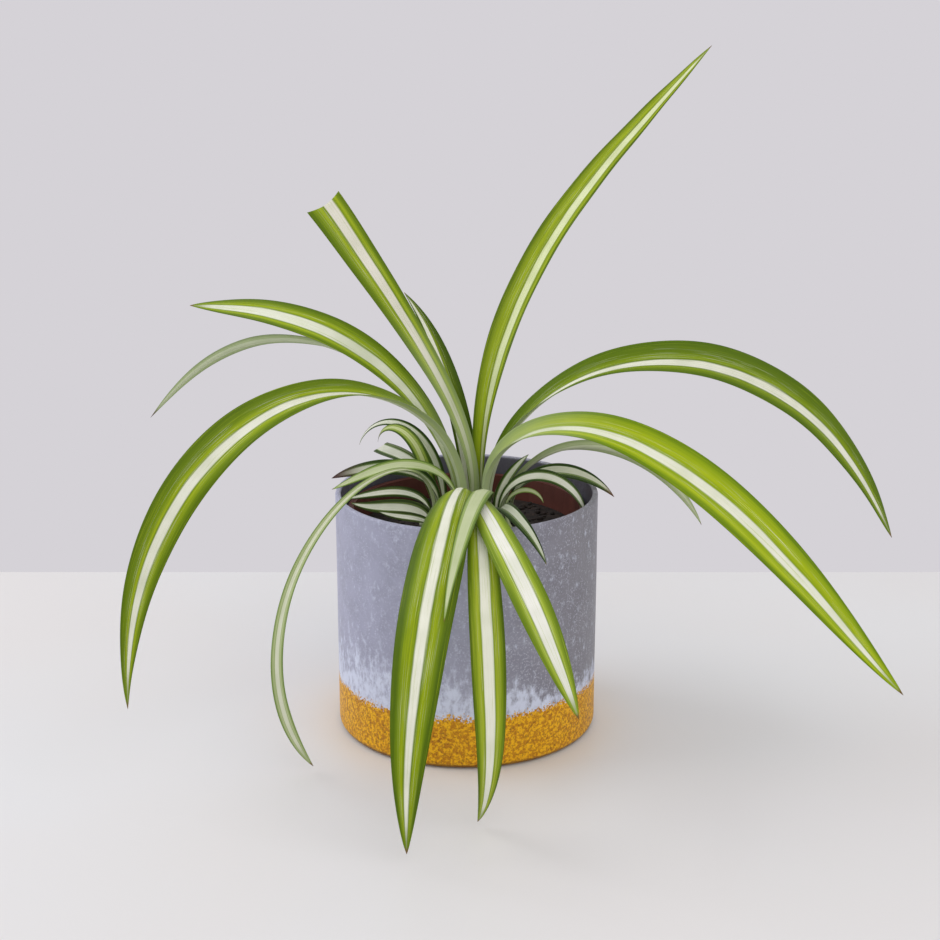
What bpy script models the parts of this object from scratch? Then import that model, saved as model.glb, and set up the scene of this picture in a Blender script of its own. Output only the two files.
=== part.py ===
"""Potted spider plant: a variegated rosette in a plastic grower's pot inside a glazed cover pot.

The origin is the centre of the cover pot's underside, +Z is up and -Y is the front.
Each leaf is a flat strip that is bent by its design row: its length, its width, the heading
that it grows in, its rise above level, its roll and the V of its two halves.
"""
import math
from typing import NamedTuple

import bmesh
import bpy

MM = 0.001
FIT = 0.3                   # gap between pieces that touch

POT_RADIUS = 67.5           # cover pot
POT_HEIGHT = 126.0
POT_WALL = 3.0
POT_FLOOR = 7.0
POT_COVE = 6.0              # round between the floor and the wall, inside
POT_FOOT_ROUND = 4.0
POT_RIM_ROUND = 1.3
POT_STEPS = 56

GROWER_HEIGHT = 109.5       # grower's pot
GROWER_TOP_RADIUS = 61.5
GROWER_FOOT_RADIUS = 47.0
GROWER_WALL = 1.6
GROWER_LIP = 1.5
GROWER_LIP_HEIGHT = 8.0
GROWER_STEPS = 40
DRAIN_HOLES = 6
DRAIN_RADIUS = 5.0
DRAIN_CIRCLE = 30.0

SOIL_LEVEL = 106.0          # height of the compost above the table

LEAF_THICKNESS = 0.7
LEAF_NECK = 0.42            # width of a leaf at its base, as a share of its full width
LEAF_TAPER = (2.0, 0.85)
TIP_WIDTH = 0.5
BEND_STEPS = 60             # steps of the bend from base to tip
FOLD = (55, 20, 8)          # rise of a leaf's halves from its midrib: base, midway, tip

GLAZE = (0.42, 0.43, 0.52)
TERRACOTTA = (0.16, 0.05, 0.035)
COMPOST = (0.035, 0.022, 0.015)
LEAF_GREEN = (0.20, 0.38, 0.03)
LEAF_DARK = (0.09, 0.22, 0.04)
LEAF_PALE = (0.48, 0.56, 0.36)


class Leaf(NamedTuple):
    """One leaf's design row, in millimetres and degrees."""
    name: str
    foot: tuple             # where it leaves the compost, x and y
    length: float
    width: float
    heading: tuple          # 0 is +X and 90 is +Y: at the base, midway and at the tip
    rise: tuple             # above level: at the base, at places between and at the tip
    roll: tuple = (0, 0, 0)
    belly: float = 0.4      # how far along the leaf is at its widest
    spans: int = 14
    cut: float = 1.0        # share of the leaf that is left where its end is cut off
    colour: tuple = LEAF_GREEN


def small(*sizes, **more):
    """A young leaf: fewer spans, and darker than the full-grown ones."""
    return Leaf(*sizes, spans=9, colour=LEAF_DARK, **more)


LEAVES = (
    Leaf("leaf_tall_right", (8.5, 10.5), 339, 18, (60, 50, 50), (102, 58, 17, 34, 27), (0, 25, 15), 0.3),
    Leaf("leaf_cut_left", (0, 6.5), 186, 21, (156, 154, 156), (108, 36, 60, 49), (-25, -40, -50), 0.85,
         cut=0.72),
    Leaf("leaf_short_back", (3, 14), 128, 13, (128, 128, 136), (81, 80, 60, 35), (-10, -30, -25), 0.25),
    Leaf("leaf_high_left", (-4.5, 8.5), 217, 19, (160, 149, 154), (89, 43, -1, -4), (-10, -35, -60), 0.5),
    Leaf("leaf_thin_left", (-6, 15), 274, 7.5, (159, 147, 142), (94, 30, 5, -43, -44), (5, 60, 65), 0.55),
    Leaf("leaf_arch_left", (-5, -3), 320, 22, (208, 204, 219), (103, 19, -35, -68, -91), (20, -35, -110),
         0.55),
    Leaf("leaf_high_right", (13.5, 2), 307, 25, (-6, 8, 6), (102, 19, -2, -57, -65), (-10, 55, 50), 0.55),
    Leaf("leaf_arch_right", (16.5, -12.5), 295, 23, (-28, -19, -32), (131, -46, -23, -55, -41),
         (25, 60, 65), 0.5),
    Leaf("leaf_pale_right", (18, 10), 147, 9, (13, 9, 8), (86, 30, -29, -37, -64), (-15, -75, -80), 0.4),
    Leaf("leaf_front_wide", (-0.5, -8), 263, 26, (-90, -107, -106), (66, 0, -57, -65, -94), (0, 5, -15),
         0.5),
    Leaf("leaf_front_short", (5, -6), 160, 10.5, (-73, -113, -101), (56, 28, -37, -47), (5, -10, 25), 0.35),
    Leaf("leaf_front_right", (8, -11.5), 204, 16, (-103, -70, -49), (61, 2, -9, -51, -59), (-15, 25, 25),
         0.7),
    Leaf("leaf_front_middle", (4.5, -16), 246, 16, (-87, -94, -69), (58, 0, -50, -87, -129), (0, -5, 5),
         0.6),
    Leaf("leaf_trailing_left", (-17.5, -6), 241, 7, (250, 198, 202), (107, -38, -63, -82, -126),
         (-30, -10, -70), 0.85),
    small("leaf_left_hooked", (-15, 3), 75, 8.5, (181, 130, 148), (74, 90, 78, -86), (-15, -55, -40), 0.35),
    small("leaf_left_hoop", (-11, 8), 90, 7.5, (151, 146, 161), (81, 95, 17, -73), (-10, -35, -35), 0.3),
    small("leaf_left_stub", (-21, 9), 65, 10, (161, 140, 118), (144, 28, -7, -1), (-5, -25, -25), 0.55,
         cut=0.7),
    small("leaf_left_arch", (-11, -6.5), 90, 8.5, (185, 189, 184), (138, 21, -31, -24), (5, -35, -50),
         0.45),
    small("leaf_left_dry_tip", (-22.5, -1.5), 78, 10.5, (176, 183, 177), (163, -5, 3, -25), (5, -45, -50),
         0.5),
    small("leaf_left_low", (-21, -10), 57, 8, (196, 191, 191), (130, 2, -10, -8), (-10, -45, -45), 0.35),
    small("leaf_left_lower", (-17, -14.5), 52, 11, (208, 196, 196), (89, 3, -12, 27), (-25, -55, -40), 0.3),
    small("leaf_left_lowest", (-13, -21), 40, 7.5, (209, 204, 201), (73, 12, 4, 27), (-5, -35, -40), 0.4),
    small("leaf_right_upright", (17, -2), 43, 7, (29, 29, 30), (108, 72, 47, 31), (0, 25, 40), 0.35),
    small("leaf_right_arch", (19.5, -7.5), 83, 9, (8, -32, 3), (116, 33, -41, -99), (0, 70, -5), 0.4),
    small("leaf_right_back", (26.5, 1), 76, 10.5, (6, -2, 6), (131, 4, -10, -50), (0, 45, 30), 0.55),
    small("leaf_right_hook", (25, -12), 41, 5, (-14, -13, -11), (137, 90, 23, -76), (0, 25, 35), 0.4),
    small("leaf_right_front", (19, -13), 97, 9.5, (-108, -74, -49), (51, 29, 3, -58), (0, 15, 25), 0.4),
)


def build():
    """Make every piece of the plant and its pots."""
    clear_scene()
    parts = new_collection("potted_spider_plant")
    cutters = new_collection("cutters")
    cover_pot(parts)
    grower_pot(parts, cutters)
    compost(parts)
    for row in LEAVES:
        leaf(parts, row)


def clear_scene():
    for thing in list(bpy.data.objects):
        bpy.data.objects.remove(thing, do_unlink=True)


def new_collection(name):
    group = bpy.data.collections.new(name)
    bpy.context.scene.collection.children.link(group)
    return group


def new_object(name, mesh, group):
    thing = bpy.data.objects.new(name, mesh)
    group.objects.link(thing)
    return thing


def dress(thing, colour, roughness, metallic=0.0):
    """Give an object a Principled material of its own."""
    material = bpy.data.materials.new(thing.name + "_material")
    material.use_nodes = True
    shader = material.node_tree.nodes["Principled BSDF"]
    shader.inputs["Base Color"].default_value = (*colour, 1.0)
    shader.inputs["Roughness"].default_value = roughness
    shader.inputs["Metallic"].default_value = metallic
    material.diffuse_color = (*colour, 1.0)
    thing.data.materials.append(material)


def arc(centre, radius, start, end, steps):
    """Points of a round corner in the profile, from one angle to another in degrees."""
    angles = [math.radians(start + (end - start) * i / steps) for i in range(steps + 1)]
    return [(centre[0] + radius * math.cos(a), centre[1] + radius * math.sin(a)) for a in angles]


def turned(name, group, profile, steps):
    """Turn a profile of (radius, height) points about Z. The points run down the outer side."""
    mesh = bpy.data.meshes.new(name)
    points = [(r * MM, 0.0, z * MM) for r, z in profile]
    mesh.from_pydata(points, [(i, i + 1) for i in range(len(points) - 1)], [])
    thing = new_object(name, mesh, group)
    screw = thing.modifiers.new("turn", "SCREW")
    screw.axis = "Z"
    screw.steps = steps
    screw.render_steps = steps
    screw.use_merge_vertices = True
    screw.merge_threshold = 0.00001
    screw.use_smooth_shade = True
    return thing


def cover_pot(group):
    """A straight glazed pot with a flat underside and a rounded rim and foot."""
    inside = POT_RADIUS - POT_WALL
    rim = POT_HEIGHT - POT_RIM_ROUND
    profile = [(0, POT_FLOOR)]
    profile += arc((inside - POT_COVE, POT_FLOOR + POT_COVE), POT_COVE, -90, 0, 4)
    profile += arc((inside + POT_RIM_ROUND, rim), POT_RIM_ROUND, 180, 90, 3)
    profile += arc((POT_RADIUS - POT_RIM_ROUND, rim), POT_RIM_ROUND, 90, 0, 3)
    profile += arc((POT_RADIUS - POT_FOOT_ROUND, POT_FOOT_ROUND), POT_FOOT_ROUND, 0, -90, 4)
    profile += [(0, 0)]
    pot = turned("cover_pot", group, profile, POT_STEPS)
    dress(pot, GLAZE, 0.4)


def grower_radius(height):
    """Outer radius of the grower's pot's wall at a height above its foot."""
    return GROWER_FOOT_RADIUS + (GROWER_TOP_RADIUS - GROWER_LIP - GROWER_FOOT_RADIUS) * height / GROWER_HEIGHT


def grower_pot(group, cutters):
    """A tapered plastic pot with a plain lip and drain holes, standing in the cover pot."""
    foot = POT_FLOOR + FIT
    top = foot + GROWER_HEIGHT
    lip_foot = GROWER_HEIGHT - GROWER_LIP_HEIGHT
    profile = [
        (0, foot + GROWER_WALL),
        (grower_radius(GROWER_WALL) - GROWER_WALL, foot + GROWER_WALL),
        (grower_radius(GROWER_HEIGHT) - GROWER_WALL, top),
        (GROWER_TOP_RADIUS, top),
        (GROWER_TOP_RADIUS, foot + lip_foot),
        (grower_radius(lip_foot), foot + lip_foot),
        (GROWER_FOOT_RADIUS, foot),
        (0, foot),
    ]
    pot = turned("grower_pot", group, profile, GROWER_STEPS)
    for i in range(DRAIN_HOLES):
        turn = 2 * math.pi * i / DRAIN_HOLES
        place = (DRAIN_CIRCLE * MM * math.cos(turn), DRAIN_CIRCLE * MM * math.sin(turn), foot * MM)
        bpy.ops.mesh.primitive_cylinder_add(vertices=12, radius=DRAIN_RADIUS * MM, depth=0.01, location=place)
        hole = bpy.context.object
        hole.name = f"drain_cutter_{i + 1}"
        hole.hide_render = True
        hole.display_type = "WIRE"
        for home in list(hole.users_collection):
            home.objects.unlink(hole)
        cutters.objects.link(hole)
        cut = pot.modifiers.new(f"drain_{i + 1}", "BOOLEAN")
        cut.object = hole
        cut.operation = "DIFFERENCE"
        cut.solver = "EXACT"
    dress(pot, TERRACOTTA, 0.55)


def compost(group):
    """The compost fills the grower's pot to just below its rim."""
    foot = POT_FLOOR + FIT + GROWER_WALL + FIT
    inside = GROWER_WALL + FIT
    low = grower_radius(GROWER_WALL + FIT) - inside
    high = grower_radius(SOIL_LEVEL - POT_FLOOR - FIT) - inside
    profile = [(0, SOIL_LEVEL), (high, SOIL_LEVEL), (low, foot), (0, foot)]
    soil = turned("compost", group, profile, GROWER_STEPS)
    dress(soil, COMPOST, 0.95)


def blend(controls, s):
    """A smooth value along a leaf: a Bezier curve through its first and last controls."""
    n = len(controls) - 1
    return sum(math.comb(n, i) * (1 - s) ** (n - i) * s ** i * c for i, c in enumerate(controls))


def leaf_width(row, s):
    """Full width of the blade at a share of its length: narrow neck, belly, long taper."""
    s *= row.cut
    rise = min(s / row.belly, 1.0)
    fall = max((s - row.belly) / (1 - row.belly), 0.0)
    swell = LEAF_NECK + (1 - LEAF_NECK) * rise * rise * (3 - 2 * rise)
    return max(row.width * swell * (1 - fall ** LEAF_TAPER[0]) ** LEAF_TAPER[1], TIP_WIDTH)


def leaf_midrib(row):
    """Points of the midrib at equal steps, from the compost to the tip."""
    x, y = row.foot
    dip = leaf_width(row, 0) / 2 * max(-side[2] for side in leaf_side(row, 0))
    points = [(x, y, SOIL_LEVEL + FIT + LEAF_THICKNESS / 2 + max(dip, 0))]
    step = row.length / BEND_STEPS
    for i in range(BEND_STEPS):
        s = (i + 0.5) / BEND_STEPS
        heading, rise = math.radians(blend(row.heading, s)), math.radians(blend(row.rise, s))
        x, y, z = points[-1]
        points.append((
            x + step * math.cos(rise) * math.cos(heading),
            y + step * math.cos(rise) * math.sin(heading),
            z + step * math.sin(rise),
        ))
    return points


def leaf_side(row, s):
    """The blade's two half directions across the midrib, left and right of the way it grows."""
    heading, rise = math.radians(blend(row.heading, s)), math.radians(blend(row.rise, s))
    roll, fold = math.radians(blend(row.roll, s)), math.radians(blend(FOLD, s))
    level = (-math.sin(heading), math.cos(heading), 0.0)
    normal = (-math.sin(rise) * math.cos(heading), -math.sin(rise) * math.sin(heading), math.cos(rise))
    across = [a * math.cos(roll) + b * math.sin(roll) for a, b in zip(level, normal)]
    up = [b * math.cos(roll) - a * math.sin(roll) for a, b in zip(level, normal)]
    left = [a * math.cos(fold) + b * math.sin(fold) for a, b in zip(across, up)]
    right = [-a * math.cos(fold) + b * math.sin(fold) for a, b in zip(across, up)]
    return left, right


def leaf(group, row):
    """Bend a flat grid, two cells wide, into one leaf and give it its thickness."""
    midrib = leaf_midrib(row)
    grid = bmesh.new()
    bmesh.ops.create_grid(grid, x_segments=2, y_segments=row.spans, size=1.0)
    for vertex in grid.verts:
        s = (vertex.co.y + 1) / 2
        place = s * BEND_STEPS
        i = min(int(place + 0.0001), BEND_STEPS - 1)
        a, b = midrib[i], midrib[i + 1]
        centre = [p + (q - p) * (place - i) for p, q in zip(a, b)]
        half = leaf_width(row, s) / 2 * abs(vertex.co.x)
        left, right = leaf_side(row, s)
        side = right if vertex.co.x > 0 else left
        vertex.co = [(c + half * d) * MM for c, d in zip(centre, side)]
    mesh = bpy.data.meshes.new(row.name)
    grid.to_mesh(mesh)
    grid.free()
    thing = new_object(row.name, mesh, group)
    skin = thing.modifiers.new("thickness", "SOLIDIFY")
    skin.thickness = LEAF_THICKNESS * MM
    skin.offset = 0.0
    dress(thing, row.colour, 0.4)
    mesh.shade_smooth()


build()
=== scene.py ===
"""A potted spider plant: a striped rosette in compost, in a grower's pot inside a glazed cover pot.

Sizes are in millimetres and degrees where a field says so, and metres once they reach a mesh.
+Z is up, -Y is the front and the origin is the centre of the cover pot's underside.
"""

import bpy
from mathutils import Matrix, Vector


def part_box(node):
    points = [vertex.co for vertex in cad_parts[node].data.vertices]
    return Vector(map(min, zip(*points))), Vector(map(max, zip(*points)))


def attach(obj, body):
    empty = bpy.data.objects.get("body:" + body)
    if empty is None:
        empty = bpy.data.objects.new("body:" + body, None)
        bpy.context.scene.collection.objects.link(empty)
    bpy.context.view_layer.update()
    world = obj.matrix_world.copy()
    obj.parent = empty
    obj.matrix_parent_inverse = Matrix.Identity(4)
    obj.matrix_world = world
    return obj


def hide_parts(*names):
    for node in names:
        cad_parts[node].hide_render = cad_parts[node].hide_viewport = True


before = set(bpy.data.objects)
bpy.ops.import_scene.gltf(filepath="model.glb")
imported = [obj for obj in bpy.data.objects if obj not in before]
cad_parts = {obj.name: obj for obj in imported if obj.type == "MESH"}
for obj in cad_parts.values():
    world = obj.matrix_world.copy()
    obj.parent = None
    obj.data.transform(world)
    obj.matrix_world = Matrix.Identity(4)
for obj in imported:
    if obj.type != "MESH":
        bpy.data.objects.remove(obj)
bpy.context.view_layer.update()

import logging
import math
from dataclasses import dataclass, field
from enum import Enum
from typing import Any, Callable, NamedTuple, Sequence

import bpy
import numpy as np
from mathutils import Vector, noise

MM = 0.001
BODY = "root"
Colour = tuple[float, float, float, float]
Place = tuple[float, float, float]
Profile = list[tuple[float, float]]
Shape = Callable[[float, float, float], float]
log = logging.getLogger("spider_plant")


def paint(code: int) -> Colour:
    """Turn a colour as a painter would mix it on screen into the linear one that shaders use.

    Args:
        code: Red, green and blue as one number, such as 0x9DBE14.

    Returns:
        The linear colour, opaque.
    """
    parts = [(code >> shift & 255) / 255 for shift in (16, 8, 0)]
    linear = [c / 12.92 if c <= 0.04045 else ((c + 0.055) / 1.055) ** 2.4 for c in parts]
    return (*linear, 1.0)


# ---------------------------- materials


class Graph:
    """A material's node tree, put together one node at a time."""

    def __init__(self, name: str) -> None:
        """Start a material whose only shader is a Principled one.

        Args:
            name: The material's name.
        """
        self.material = bpy.data.materials.new(name)
        self.material.use_nodes = True
        self.nodes = self.material.node_tree.nodes
        self.shader = self.nodes["Principled BSDF"]

    def feed(self, socket: Any, value: Any) -> None:
        """Give a socket a value, or link it to another socket.

        Args:
            socket: The input to set.
            value: A value, or the output that it follows.
        """
        if isinstance(value, bpy.types.NodeSocket):
            self.material.node_tree.links.new(value, socket)
        else:
            socket.default_value = value

    def node(self, kind: str, inputs: dict[Any, Any] | None = None, **settings: Any) -> Any:
        """Add a node.

        Args:
            kind: The node's type.
            inputs: Values or sockets for its inputs, by name or number.
            settings: The node's own properties.

        Returns:
            The new node.
        """
        made = self.nodes.new(kind)
        for key, value in settings.items():
            setattr(made, key, value)
        for key, value in (inputs or {}).items():
            self.feed(made.inputs[key], value)
        return made

    def attribute(self, name: str) -> Any:
        """Return the socket that reads a number stored on the mesh."""
        return self.node("ShaderNodeAttribute", attribute_name=name).outputs["Fac"]

    def place(self) -> Any:
        """Return the socket that reads a point's place in the piece's own frame."""
        return self.node("ShaderNodeTexCoord").outputs["Object"]

    def math(self, operation: str, a: Any, b: Any = 0.0, c: Any = 0.0) -> Any:
        """Return the socket of a sum, product or other operation on two or three numbers."""
        return self.node("ShaderNodeMath", {0: a, 1: b, 2: c}, operation=operation).outputs[0]

    def split(self, vector: Any) -> Any:
        """Return the X, Y and Z sockets of a vector."""
        return self.node("ShaderNodeSeparateXYZ", {0: vector}).outputs

    def join(self, x: Any, y: Any, z: Any) -> Any:
        """Return the socket of a vector made of three numbers."""
        return self.node("ShaderNodeCombineXYZ", {0: x, 1: y, 2: z}).outputs[0]

    def scaled(self, vector: Any, factors: Place) -> Any:
        """Return the socket of a vector stretched along its axes."""
        inputs = {0: vector, 1: factors}
        return self.node("ShaderNodeVectorMath", inputs, operation="MULTIPLY").outputs[0]

    def noise(self, vector: Any, scale: float, detail: float = 2.0, roughness: float = 0.5) -> Any:
        """Return the socket of a soft random number that varies over a vector."""
        inputs = {"Vector": vector, "Scale": scale, "Detail": detail, "Roughness": roughness}
        return self.node("ShaderNodeTexNoise", inputs).outputs["Fac"]

    def cells(self, vector: Any, scale: float) -> Any:
        """Return the distance socket of a field of scattered points."""
        inputs = {"Vector": vector, "Scale": scale}
        return self.node("ShaderNodeTexVoronoi", inputs).outputs["Distance"]

    def step(
        self, value: Any, low: float, high: float, start: float = 0.0, end: float = 1.0
    ) -> Any:
        """Return the socket of a smooth step between two limits."""
        inputs = {"Value": value, "From Min": low, "From Max": high, "To Min": start, "To Max": end}
        return self.node("ShaderNodeMapRange", inputs, interpolation_type="SMOOTHSTEP").outputs[0]

    def ramp(self, value: Any, stops: Sequence[tuple[float, Colour]]) -> Any:
        """Read a colour off a row of stops.

        Args:
            value: The place along the row, from 0 to 1.
            stops: Places and colours, in order.

        Returns:
            The colour's socket.
        """
        made = self.node("ShaderNodeValToRGB", {0: value})
        band = made.color_ramp
        while len(band.elements) < len(stops):
            band.elements.new(1.0)
        for element, (place, colour) in zip(band.elements, stops):
            element.position = place
            element.color = colour
        return made.outputs[0]

    def mix(self, factor: Any, a: Any, b: Any) -> Any:
        """Mix two colours.

        Args:
            factor: 0 for the first colour and 1 for the second.
            a: The first colour.
            b: The second colour.

        Returns:
            The mixed colour's socket.
        """
        made = self.node("ShaderNodeMix", data_type="RGBA")
        for number, value in ((0, factor), (6, a), (7, b)):
            self.feed(made.inputs[number], value)
        return made.outputs[2]

    def bump(self, height: Any, distance: float, strength: float = 1.0) -> None:
        """Raise the surface's shading by a height, given in metres at full height."""
        inputs = {"Height": height, "Distance": distance, "Strength": strength}
        self.feed(self.shader.inputs["Normal"], self.node("ShaderNodeBump", inputs).outputs[0])

    def finish(self, colour: Any, roughness: Any, specular: float = 0.5) -> bpy.types.Material:
        """Set the shader's sockets.

        Args:
            colour: The base colour or its socket.
            roughness: The roughness or its socket.
            specular: How strongly the surface reflects, 0.5 being usual.

        Returns:
            The finished material.
        """
        self.feed(self.shader.inputs["Base Color"], colour)
        self.feed(self.shader.inputs["Roughness"], roughness)
        self.shader.inputs["Specular IOR Level"].default_value = specular
        return self.material


MARGIN_GAP = 0.06           # least share of the blade between the margin's green and the halo
HALO_FAR = 1.6              # where the halo ends, in its half widths from the stripe
HALO_NEAR = 0.6             # where it is brightest
SEAM_OUT = 0.02             # how far the stripe's soft edge reaches out, as a share of the blade
SEAM_IN = 0.015             # and in
WANDER = 0.1                # how far the stripes wander from side to side
WANDER_PACE = 0.02          # how fast they wander, for each millimetre along the blade
VEIN_PACE = 0.012           # how slowly veins change along the blade, against across it
BELOW_PALENESS = 0.52
RIDGE_HEIGHT = 0.00035      # metres
BLADE_SPECULAR = 0.15


@dataclass(frozen=True)
class Variegation:
    """The finish of a striped blade, from one margin to the other and from base to tip."""

    edge: int = 0x587204
    green: int = 0x748E0A
    glow: int = 0xA4B81E
    cream: int = 0xF3F5E2
    under: int = 0xB9C89A
    dry: int = 0x7A6238
    margin: float = 0.06        # share of the blade at each side that has the margin's green
    stripe: float = 0.22        # width of the cream stripe, as a share of the blade
    shift: float = 0.0          # how far the stripe lies to the right of the midrib
    halo: float = 0.22          # width of the yellow-green beside the stripe
    dry_tip: float = 0.012      # share of the length that has dried at the tip
    pale_base: float = 0.1      # share of the length over which the base is pale
    base_fade: float = 0.55     # how pale the base is
    roughness: float = 0.42

    def stops(self) -> list[tuple[float, Colour]]:
        """Lay out the colours across the blade.

        Returns:
            Places and colours, left margin to right margin.
        """
        middle = 0.5 + self.shift / 2
        half = self.stripe / 2
        glow = self.halo / 2
        edge, green = paint(self.edge), paint(self.green)
        bright, cream = paint(self.glow), paint(self.cream)
        left = [
            (0.0, edge), (self.margin, edge),
            (max(middle - half - glow * HALO_FAR, self.margin + MARGIN_GAP), green),
            (middle - half - glow * HALO_NEAR, bright),
            (middle - half - SEAM_OUT, green), (middle - half + SEAM_IN, cream),
        ]
        right = [
            (middle + half - SEAM_IN, cream), (middle + half + SEAM_OUT, green),
            (middle + half + glow * HALO_NEAR, bright),
            (min(middle + half + glow * HALO_FAR, 1 - MARGIN_GAP - self.margin), green),
            (1 - self.margin, edge), (1.0, edge),
        ]
        return left + right

    def off_stripe(self, graph: Graph, place: Any) -> Any:
        """Return the socket that is 0 on the cream stripe and 1 away from it."""
        away = graph.math("ABSOLUTE", graph.math("SUBTRACT", place, 0.5 + self.shift / 2))
        return graph.step(away, self.stripe / 2, self.stripe / 2 + 0.03, 0.12, 1.0)

    def material(self, name: str, length: float, width: float, seed: float) -> bpy.types.Material:
        """Make the blade's material.

        Args:
            name: The material's name.
            length: The blade's length in millimetres, which sets the grain's scale.
            width: The blade's width in millimetres.
            seed: A number of the blade's own, so that no two blades share their streaks.

        Returns:
            The material.
        """
        graph = Graph(name)
        across, along = graph.attribute("across"), graph.attribute("along")
        below = graph.attribute("below")
        reach = graph.math("MULTIPLY", along, length)
        drift = graph.noise(graph.join(graph.math("MULTIPLY", reach, WANDER_PACE), seed, 0.0), 1.0)
        wander = graph.math("MULTIPLY_ADD", drift, WANDER, -WANDER / 2)
        sideways = graph.math("MULTIPLY", across, width)
        veins_at = graph.join(sideways, graph.math("MULTIPLY", reach, VEIN_PACE), seed)
        veins = graph.noise(veins_at, 1.6, 3.0, 0.65)
        fine = graph.noise(veins_at, 5.0, 1.0)
        place = graph.math("ADD", graph.math("MULTIPLY_ADD", across, 0.5, 0.5), wander)
        place = graph.math("ADD", place, graph.math("MULTIPLY_ADD", fine, 0.03, -0.015))
        colour = graph.ramp(place, self.stops())
        pinstripes = graph.step(veins, 0.58, 0.64, 0.0, 0.6)
        colour = graph.mix(pinstripes, colour, paint(self.glow))
        hairlines = graph.step(graph.noise(veins_at, 2.7, 1.0), 0.62, 0.67, 0.0, 0.5)
        inner = graph.step(graph.math("ABSOLUTE", across), 0.72, 0.42)
        hairlines = graph.math("MULTIPLY", hairlines, inner)
        colour = graph.mix(hairlines, colour, paint(self.cream))
        shadow = graph.step(veins, 0.45, 0.36, 0.0, 0.5)
        shadow = graph.math("MULTIPLY", shadow, self.off_stripe(graph, place))
        colour = graph.mix(shadow, colour, paint(self.edge))
        base = graph.step(along, 0.0, self.pale_base, self.base_fade, 0.0)
        colour = graph.mix(base, colour, paint(self.under))
        patches = graph.noise(graph.join(graph.math("MULTIPLY", reach, 0.05), seed, 3.0), 1.0)
        colour = graph.mix(graph.step(patches, 0.35, 0.75, 0.0, 0.2), colour, paint(self.green))
        tip = graph.step(along, 0.93, 0.985, 0.0, 0.8)
        colour = graph.mix(tip, colour, paint(self.green))
        colour = graph.mix(graph.math("MULTIPLY", below, BELOW_PALENESS), colour, paint(self.under))
        frayed = graph.math("ADD", along, graph.math("MULTIPLY", fine, 0.01))
        dried = graph.step(frayed, 1.0 - self.dry_tip, 1.0)
        colour = graph.mix(dried, colour, paint(self.dry))
        ridges = graph.math("MULTIPLY_ADD", fine, 0.45, graph.math("MULTIPLY", veins, 0.55))
        graph.bump(ridges, RIDGE_HEIGHT, 0.5)
        gloss = graph.math("MULTIPLY_ADD", veins, 0.16, self.roughness - 0.08)
        gloss = graph.math("MULTIPLY_ADD", below, 0.14, gloss)
        return graph.finish(colour, gloss, BLADE_SPECULAR)


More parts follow.
